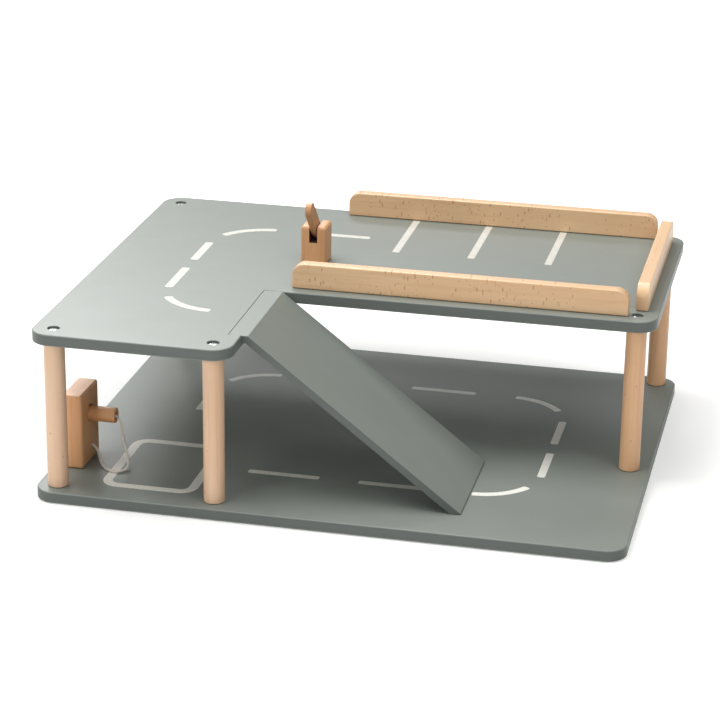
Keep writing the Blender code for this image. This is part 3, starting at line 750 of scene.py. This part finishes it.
cordRoute = [
    (-0.2037, -0.1115, 0.0213), (-0.1998, -0.1115, 0.0213), (-0.1972, -0.1123, 0.0204),
    (-0.1946, -0.1142, 0.018), (-0.1917, -0.1178, 0.0142), (-0.188, -0.1236, 0.0112),
    (-0.1835, -0.1292, 0.01035), (-0.1784, -0.1327, 0.0103), (-0.1733, -0.1334, 0.0103),
    (-0.1689, -0.1308, 0.01035), (-0.1669, -0.1262, 0.0109), (-0.1673, -0.1213, 0.013),
    (-0.1692, -0.1176, 0.0172), (-0.1716, -0.1153, 0.0236), (-0.1737, -0.1141, 0.031),
    (-0.1749, -0.1136, 0.0379), (-0.1762, -0.1135, 0.043), (-0.1773, -0.1135, 0.0462),
    (-0.1795, -0.1135, 0.048), (-0.1825, -0.1135, 0.0485),
]
cord = {
    "diameter": 0.0020,
    "spread": 0.0023,
    "strands": 3,
    "strandRadius": 0.00061,
    "lay": 0.0062,
    "routeStep": 0.0025,
    "windingStep": 0.0006,
}


def stretchOf(points, start, end, step=0.5):
    # evenly spaced points on the part of a path between two distances along it
    reached = [0.0]
    for here, ahead in zip(points, points[1:]):
        reached.append(reached[-1] + (ahead - here).length)
    found = []
    count = max(2, round((end - start) / step))
    for index in range(count + 1):
        want = start + (end - start) * index / count
        place = next(i for i in range(1, len(reached)) if reached[i] >= want - 1e-6 or i == len(reached) - 1)
        span = reached[place] - reached[place - 1]
        share = (want - reached[place - 1]) / span if span else 0.0
        found.append(points[place - 1].lerp(points[place], share))
    return found


def smoothRoute(route, step, knotSteps=24):
    # evenly spaced points on a smooth curve through the route, and its length
    knots = [Vector(point) for point in route]
    knots = [2 * knots[0] - knots[1]] + knots + [2 * knots[-1] - knots[-2]]
    dense = []
    for before, start, end, after in zip(knots, knots[1:], knots[2:], knots[3:]):
        for index in range(knotSteps):
            t = index / knotSteps
            dense.append(0.5 * (2 * start + (end - before) * t
                                + (2 * before - 5 * start + 4 * end - after) * t ** 2
                                + (3 * start - before - 3 * end + after) * t ** 3))
    dense.append(knots[-2])
    length = sum((ahead - here).length for here, ahead in zip(dense, dense[1:]))
    return stretchOf(dense, 0.0, length, step), length


inputKinds = {"Geometry": "Geometry", "Material": "Material", "Strands": "Int"}


def newTree(name, *labels):
    # a Geometry Nodes tree with named inputs; returns the tree, its inputs' sockets and its output node
    tree = bpy.data.node_groups.new(name, "GeometryNodeTree")
    for label in ("Geometry", *labels, "Material"):
        kind = "NodeSocket" + inputKinds.get(label, "Float")
        tree.interface.new_socket(label, in_out="INPUT", socket_type=kind)
    tree.interface.new_socket("Geometry", in_out="OUTPUT", socket_type="NodeSocketGeometry")
    given = tree.nodes.new("NodeGroupInput").outputs
    return tree, given, tree.nodes.new("NodeGroupOutput")


def endTree(tree, geometry, given, output):
    real = addNode(tree, "GeometryNodeRealizeInstances", {"Geometry": geometry}).outputs[0]
    finished = addNode(tree, "GeometryNodeSetMaterial", {"Geometry": real, "Material": given["Material"]})
    tree.links.new(finished.outputs[0], output.inputs[0])
    return tree


def runTree(piece, tree, values):
    # sets each input by its socket's identifier and keeps the result as a plain mesh
    modifier = piece.modifiers.new(tree.name, "NODES")
    modifier.node_group = tree
    for item in tree.interface.items_tree:
        if item.in_out == "INPUT" and item.name in values:
            modifier[item.identifier] = values[item.name]
    return keepEvaluated(piece)


def vectorMath(tree, operation, sockets):
    return addNode(tree, "ShaderNodeVectorMath", sockets, operation=operation).outputs[0]


def circle(tree, sides, radius):
    return addNode(tree, "GeometryNodeCurvePrimitiveCircle", {
        "Resolution": sides, "Radius": radius}).outputs[0]


def swept(tree, curve, profile, **sockets):
    return addNode(tree, "GeometryNodeCurveToMesh", {
        "Curve": curve, "Profile Curve": profile, "Fill Caps": True, **sockets}).outputs[0]


def evenCurve(tree, curve, step):
    return addNode(tree, "GeometryNodeResampleCurve", {
        "Curve": curve, "Length": step}, mode="LENGTH").outputs[0]


def lineCurve(name, paths, closed=False):
    data = bpy.data.curves.new(name, "CURVE")
    data.dimensions = "3D"
    for points in paths:
        spline = data.splines.new("POLY")
        spline.points.add(len(points) - 1)
        for slot, point in zip(spline.points, points):
            slot.co = (*point, 1)
        spline.use_cyclic_u = closed
    return placeObject(name, data)


def twistedStrands():
    # copies of the route wind round it, a turn for each length of lay
    tree, given, output = newTree("twistedStrands", "Strands", "Strand radius", "Offset", "Lay", "Step")
    route = evenCurve(tree, given["Geometry"], given["Step"])
    copies = addNode(tree, "GeometryNodeDuplicateElements", {
        "Geometry": route, "Amount": given["Strands"]}, domain="SPLINE")
    along = addNode(tree, "GeometryNodeSplineParameter").outputs["Length"]
    turns = math2(tree, "DIVIDE", along, given["Lay"])
    share = math2(tree, "DIVIDE", copies.outputs["Duplicate Index"], given["Strands"])
    angle = math2(tree, "MULTIPLY", math2(tree, "ADD", turns, share), math.tau)
    normal = addNode(tree, "GeometryNodeInputNormal").outputs["Normal"]
    tangent = addNode(tree, "GeometryNodeInputTangent").outputs["Tangent"]
    side = vectorMath(tree, "CROSS_PRODUCT", {0: tangent, 1: normal})
    first = vectorMath(tree, "SCALE", {0: normal, "Scale": math2(tree, "COSINE", angle)})
    second = vectorMath(tree, "SCALE", {0: side, "Scale": math2(tree, "SINE", angle)})
    outward = vectorMath(tree, "ADD", {0: first, 1: second})
    offset = vectorMath(tree, "SCALE", {0: outward, "Scale": given["Offset"]})
    wound = addNode(tree, "GeometryNodeSetPosition", {
        "Geometry": copies.outputs["Geometry"], "Offset": offset}).outputs[0]
    return endTree(tree, swept(tree, wound, circle(tree, 10, given["Strand radius"])), given, output)


def makeCord(setup, route):
    points, length = smoothRoute(route, setup["routeStep"])
    piece = runTree(lineCurve("chargerCord", [points]), twistedStrands(), {
        "Strands": setup["strands"], "Strand radius": setup["strandRadius"],
        "Offset": setup["spread"] / 2 - setup["strandRadius"], "Lay": setup["lay"],
        "Step": setup["windingStep"], "Material": cotton})
    piece.data.shade_smooth()
    piece.data.set_sharp_from_angle(angle=math.radians(60))
    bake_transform(piece)
    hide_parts("charger_cord")
    print("cord twisted", round(length, 4))


makeCord(cord, cordRoute)

# Places are in millimetres from the boards' front left corner, as a sign painter would mark them out.
lines = {"thickness": 0.14, "sunk": 0.04, "endRounding": 1.7, "cornerSteps": 32}
deckRoad = {
    "width": 6.7,
    "corners": [(200, 290.4), (71, 290.4), (71, 83), (118, 83)],
    "radius": 46,
    "dashes": [(4.3, 60), (84.2, 131.6), (154.7, 201.6), (222.6, 272.0), (294.7, 343.3)],
}
baseRoad = {
    "width": 6.2,
    "corners": [(76.3, 77), (370, 77), (370, 282.8), (76.3, 282.8)],
    "radius": 46.8,
    # the road breaks off where the charging bay crosses it
    "dashes": [(25.7, 82.0), (112.8, 167.9), (200.9, 247.8), (270.9, 319.9), (339.6, 388.7), (411.6, 458.5),
               (492.4, 547.0), (578.1, 631.9), (660, 707.2), (730, 779.1)],
}
parkingBays = {"width": 5.8, "lefts": (224.0, 286.3, 349.4), "near": 258.8, "far": 347.4}
chargingBay = {"width": 7.3, "left": 49.2, "right": 117.0, "near": 26.2, "far": 116.0, "radius": 10}


def roundedPath(corners, radius, steps, closed):
    # the corners of a path, each opened into an arc, with its free ends as they are
    points = []
    last = len(corners) - 1
    for index, corner in enumerate(corners):
        here = Vector(corner)
        if not closed and index in (0, last):
            points.append(here)
            continue
        before = (here - Vector(corners[index - 1])).normalized()
        after = (Vector(corners[(index + 1) % len(corners)]) - here).normalized()
        centre = here - before * radius + after * radius
        for step in range(steps + 1):
            turn = math.pi / 2 * step / steps
            points.append(centre - after * radius * math.cos(turn) + before * radius * math.sin(turn))
    return points


def paintedLine():
    # a flat film along each curve, narrower at its ends so that their corners are round
    tree, given, output = newTree("paintedLine", "Width", "Thickness", "End rounding")
    curve = evenCurve(tree, given["Geometry"], 0.0004)
    along = addNode(tree, "GeometryNodeSplineParameter").outputs["Length"]
    whole = addNode(tree, "GeometryNodeSplineLength").outputs["Length"]
    toEnd = math2(tree, "MINIMUM", along, math2(tree, "SUBTRACT", whole, along))
    short = math2(tree, "MAXIMUM", math2(tree, "SUBTRACT", given["End rounding"], toEnd), 0.0)
    square = math2(tree, "MULTIPLY", given["End rounding"], given["End rounding"])
    rest = math2(tree, "SUBTRACT", square, math2(tree, "MULTIPLY", short, short))
    inward = math2(tree, "SUBTRACT", given["End rounding"], math2(tree, "SQRT", rest))
    halfWidth = math2(tree, "MULTIPLY", given["Width"], 0.5)
    scale = math2(tree, "SUBTRACT", 1.0, math2(tree, "DIVIDE", inward, halfWidth))
    profile = addNode(tree, "GeometryNodeCurvePrimitiveQuadrilateral", {
        "Width": given["Width"], "Height": given["Thickness"]}).outputs[0]
    return endTree(tree, swept(tree, curve, profile, Scale=scale), given, output)


lineTree = paintedLine()


def paint(name, paths, setup, level, closed=False, rounding=lines["endRounding"]):
    # paths are in millimetres on the board whose top is at level
    height = level - lines["sunk"] / 1000 + lines["thickness"] / 2000
    placed = [[(baseLow.x + point.x / 1000, baseLow.y + point.y / 1000, height) for point in path]
              for path in paths]
    # lines on the storey take the darker copy of the paint, painted shade; those on the base the plain one
    piece = runTree(lineCurve(name, placed, closed), lineTree, {
        "Width": setup["width"] / 1000, "Thickness": lines["thickness"] / 1000,
        "End rounding": rounding / 1000, "Material": shadedDeckRoadPaint if level > deckLow.z else baseRoadPaint})
    piece.data.set_sharp_from_angle(angle=math.radians(35))
    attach(piece, body)


def paintAllLines():
    steps = lines["cornerSteps"]
    deckPath = roundedPath(deckRoad["corners"], deckRoad["radius"], steps, False)
    paint("deckRoadLine", [stretchOf(deckPath, *dash) for dash in deckRoad["dashes"]], deckRoad, deckHigh.z)
    basePath = roundedPath(baseRoad["corners"], baseRoad["radius"], steps, True)
    # the loop starts where the near straight leaves the first corner
    basePath = basePath[steps:] + basePath[:steps + 1]
    paint("baseRoadLine", [stretchOf(basePath, *dash) for dash in baseRoad["dashes"]], baseRoad, baseHigh.z)
    bays = [[Vector((x, parkingBays["near"])), Vector((x, parkingBays["far"]))] for x in parkingBays["lefts"]]
    paint("parkingBayLines", bays, parkingBays, deckHigh.z, rounding=0.4)
    left, right, near, far = (chargingBay[key] for key in ("left", "right", "near", "far"))
    corners = [(left, near), (right, near), (right, far), (left, far)]
    outline = roundedPath(corners, chargingBay["radius"], steps, True)
    paint("chargingBayOutline", [outline], chargingBay, baseHigh.z, closed=True, rounding=0.0)


paintAllLines()
print("lines painted")

# parts of the head's height and diameter, and of the shank's radius
screwShape = {
    "flank": 0.42,         # of the height, below the dome
    "domePower": 2.6,
    "domeFall": 0.62,      # how far the dome closes in
    "crossSpan": 0.52,
    "crossBar": 0.13,
    "neck": 0.3,           # of the height, where the shank starts
    "tip": 0.04,
}


def panHeadScrew(shape):
    # a domed head with a cross recess on a plain shank with a point, one at each point of the input mesh
    tree, given, output = newTree("panHeadScrew", "Head diameter", "Head height", "Shank diameter",
                                  "Length", "Point")
    headRadius = math2(tree, "MULTIPLY", given["Head diameter"], 0.5)
    top = addNode(tree, "ShaderNodeCombineXYZ", {"Z": given["Head height"]}).outputs[0]
    line = addNode(tree, "GeometryNodeCurvePrimitiveLine", {"End": top}, mode="POINTS").outputs[0]
    rings = addNode(tree, "GeometryNodeResampleCurve", {"Curve": line, "Count": 18}).outputs[0]
    factor = addNode(tree, "GeometryNodeSplineParameter").outputs["Factor"]
    above = math2(tree, "SUBTRACT", factor, shape["flank"])
    dome = math2(tree, "MAXIMUM", math2(tree, "DIVIDE", above, 1 - shape["flank"]), 0.0)
    fall = math2(tree, "POWER", dome, shape["domePower"])
    scale = math2(tree, "SUBTRACT", 1.0, math2(tree, "MULTIPLY", fall, shape["domeFall"]))
    head = swept(tree, rings, circle(tree, 32, headRadius), Scale=scale)
    head = addNode(tree, "GeometryNodeSetShadeSmooth", {"Geometry": head}).outputs[0]
    span = math2(tree, "MULTIPLY", given["Head diameter"], shape["crossSpan"])
    bar = math2(tree, "MULTIPLY", given["Head diameter"], shape["crossBar"])
    for first, second in ((span, bar), (bar, span)):
        size = addNode(tree, "ShaderNodeCombineXYZ", {
            "X": first, "Y": second, "Z": given["Head height"]}).outputs[0]
        block = addNode(tree, "GeometryNodeMeshCube", {"Size": size}).outputs[0]
        block = addNode(tree, "GeometryNodeTransform", {"Geometry": block, "Translation": top}).outputs[0]
        head = addNode(tree, "GeometryNodeMeshBoolean", {"Mesh 1": head, "Mesh 2": block},
                       operation="DIFFERENCE", solver="EXACT").outputs[0]
    down = math2(tree, "MULTIPLY", given["Length"], -1.0)
    tip = addNode(tree, "ShaderNodeCombineXYZ", {"Z": down}).outputs[0]
    neck = math2(tree, "MULTIPLY", given["Head height"], shape["neck"])
    start = addNode(tree, "ShaderNodeCombineXYZ", {"Z": neck}).outputs[0]
    shankLine = addNode(tree, "GeometryNodeCurvePrimitiveLine", {
        "Start": start, "End": tip}, mode="POINTS").outputs[0]
    shankRings = addNode(tree, "GeometryNodeResampleCurve", {"Curve": shankLine, "Count": 24}).outputs[0]
    left = math2(tree, "SUBTRACT", addNode(tree, "GeometryNodeSplineLength").outputs[0],
                 addNode(tree, "GeometryNodeSplineParameter").outputs["Length"])
    point = math2(tree, "MINIMUM", math2(tree, "DIVIDE", left, given["Point"]), 1.0)
    shankRing = circle(tree, 16, math2(tree, "MULTIPLY", given["Shank diameter"], 0.5))
    shank = swept(tree, shankRings, shankRing, Scale=math2(tree, "MAXIMUM", point, shape["tip"]))
    screw = addNode(tree, "GeometryNodeJoinGeometry", {"Geometry": head})
    tree.links.new(shank, screw.inputs[0])
    turn = addNode(tree, "GeometryNodeInputNamedAttribute", {"Name": "turn"}, data_type="FLOAT_VECTOR")
    rotation = addNode(tree, "FunctionNodeEulerToRotation", {0: turn.outputs[0]}).outputs[0]
    copies = addNode(tree, "GeometryNodeInstanceOnPoints", {
        "Points": given["Geometry"], "Instance": screw.outputs[0], "Rotation": rotation}).outputs[0]
    return endTree(tree, copies, given, output)


def driveScrews(name, kind, groups, tree):
    # groups: node names, the level of the face that they are sunk in, and whether it looks up
    seats = [(node, face, looksUp) for nodes, face, looksUp in groups for node in nodes]
    deep = kind["recessDepth"] - touchGap
    mesh = bpy.data.meshes.new(name)
    mesh.from_pydata([(*middleOf(node).xy, face - deep if looksUp else face + deep)
                      for node, face, looksUp in seats], [], [])
    turn = mesh.attributes.new("turn", "FLOAT_VECTOR", "POINT")
    for index, (_, _, looksUp) in enumerate(seats):
        # every screw stops at its own angle
        turn.data[index].vector = (0.0 if looksUp else math.pi, 0.0, math.radians(37 * index + 20))
    piece = runTree(placeObject(name, mesh), tree, {
        "Head diameter": kind["head"], "Head height": kind["headHeight"], "Shank diameter": kind["shank"],
        "Length": kind["length"], "Point": kind["point"], "Material": zinc})
    piece.data.set_sharp_from_angle(angle=math.radians(35))
    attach(piece, body)
    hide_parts(*(node for node, _, _ in seats))


screwTree = panHeadScrew(screwShape)
driveScrews("postScrews", longScrew,
            [(deckScrews, deckHigh.z, True), (baseScrews, baseLow.z, False)], screwTree)
driveScrews("railAndBlockScrews", shortScrew,
            [(deckUnderScrews, deckLow.z, False), (baseUnderScrews, baseLow.z, False)], screwTree)
print("screws driven")

studio = {
    "floorColour": "#E6E6E4",
    "floorReach": 12,
    "floorDrop": 0.0005,
    "floorGlow": (0.32, 1.0),
    "glowReach": (0.24, 0.55),    # m from the middle, where the paper's glow starts and where it is full
    "skyLevel": 0.03,
    "skyInGloss": 0.30,
    "aim": (0, 0, 0.08),
    # azimuth from the back towards the left and elevation in degrees, distance, size, watts, whether it
    # shows in gloss alone: the bright backdrop at the back left that the satin lacquer mirrors
    "softboxes": {
        "backdropHigh": (20, 48, 2.3, 0.9, 43, True),
        "backdropLow": (38, 36, 2.3, 0.9, 29.5, True),
        "overhead": (0, 88, 2.2, 1.6, 15, False),
        "leftOverhead": (95, 65, 2.3, 1.4, 33, False),
        "rightOverhead": (265, 65, 2.3, 1.4, 13, False),
        "frontRight": (220, 40, 2.3, 1.2, 10, False),
        "frontLeft": (150, 18, 2.5, 1.2, 17, False),
    },
}


def makeFloor(setup):
    mesh = bpy.data.meshes.new("studioFloor")
    corners = [(x * setup["floorReach"], y * setup["floorReach"], 0) for x, y in
               ((-1, -1), (1, -1), (1, 1), (-1, 1))]
    mesh.from_pydata(corners, [], [(0, 1, 2, 3)])
    floor = placeObject("studioFloor", mesh)
    floor.location.z = -setup["floorDrop"]
    material, tree = newMaterial("whiteStudioPaper")
    paper = addNode(tree, "ShaderNodeBsdfDiffuse", {"Color": fromHex(setup["floorColour"])}).outputs[0]
    place = addNode(tree, "ShaderNodeTexCoord").outputs["Object"]
    away = addNode(tree, "ShaderNodeVectorMath", {0: place}, operation="LENGTH").outputs["Value"]
    strength = remap(tree, away, *setup["glowReach"], *setup["floorGlow"])
    glow = addNode(tree, "ShaderNodeEmission", {"Strength": strength}).outputs[0]
    both = addNode(tree, "ShaderNodeAddShader", {0: paper, 1: glow}).outputs[0]
    path = addNode(tree, "ShaderNodeLightPath").outputs
    seen = math2(tree, "MAXIMUM", path["Is Camera Ray"], path["Is Glossy Ray"])
    mixed = addNode(tree, "ShaderNodeMixShader", {0: seen, 1: paper, 2: both}).outputs[0]
    addNode(tree, "ShaderNodeOutputMaterial", {"Surface": mixed})
    mesh.materials.append(material)


def makeSky(setup):
    # white to the camera, paler in reflections, and next to nothing as light
    world = bpy.data.worlds.new("studioSky")
    bpy.context.scene.world = world
    world.use_nodes = True
    tree = world.node_tree
    tree.nodes.clear()
    path = addNode(tree, "ShaderNodeLightPath").outputs
    seen = math2(tree, "MAXIMUM", path["Is Camera Ray"], path["Is Transmission Ray"])
    mirrored = math2(tree, "MULTIPLY", path["Is Glossy Ray"], setup["skyInGloss"])
    level = math2(tree, "MAXIMUM", math2(tree, "MAXIMUM", seen, mirrored), setup["skyLevel"])
    sky = addNode(tree, "ShaderNodeBackground", {"Color": (1, 1, 1, 1), "Strength": level}).outputs[0]
    addNode(tree, "ShaderNodeOutputWorld", {"Surface": sky})


def makeSoftboxes(setup):
    for name, (azimuth, elevation, distance, size, watts, glossAlone) in setup["softboxes"].items():
        data = bpy.data.lights.new(name, "AREA")
        data.shape = "SQUARE"
        data.size = size
        data.energy = watts
        lamp = placeObject(name, data)
        around, above = math.radians(azimuth), math.radians(elevation)
        level = math.cos(above)
        away = Vector((-math.sin(around) * level, math.cos(around) * level, math.sin(above)))
        lamp.location = Vector(setup["aim"]) + away * distance
        lamp.rotation_euler = away.to_track_quat("Z", "Y").to_euler()
        lamp.visible_diffuse = not glossAlone


makeFloor(studio)
makeSky(studio)
makeSoftboxes(studio)
bpy.context.scene.view_settings.view_transform = "Standard"
print("studio lit")
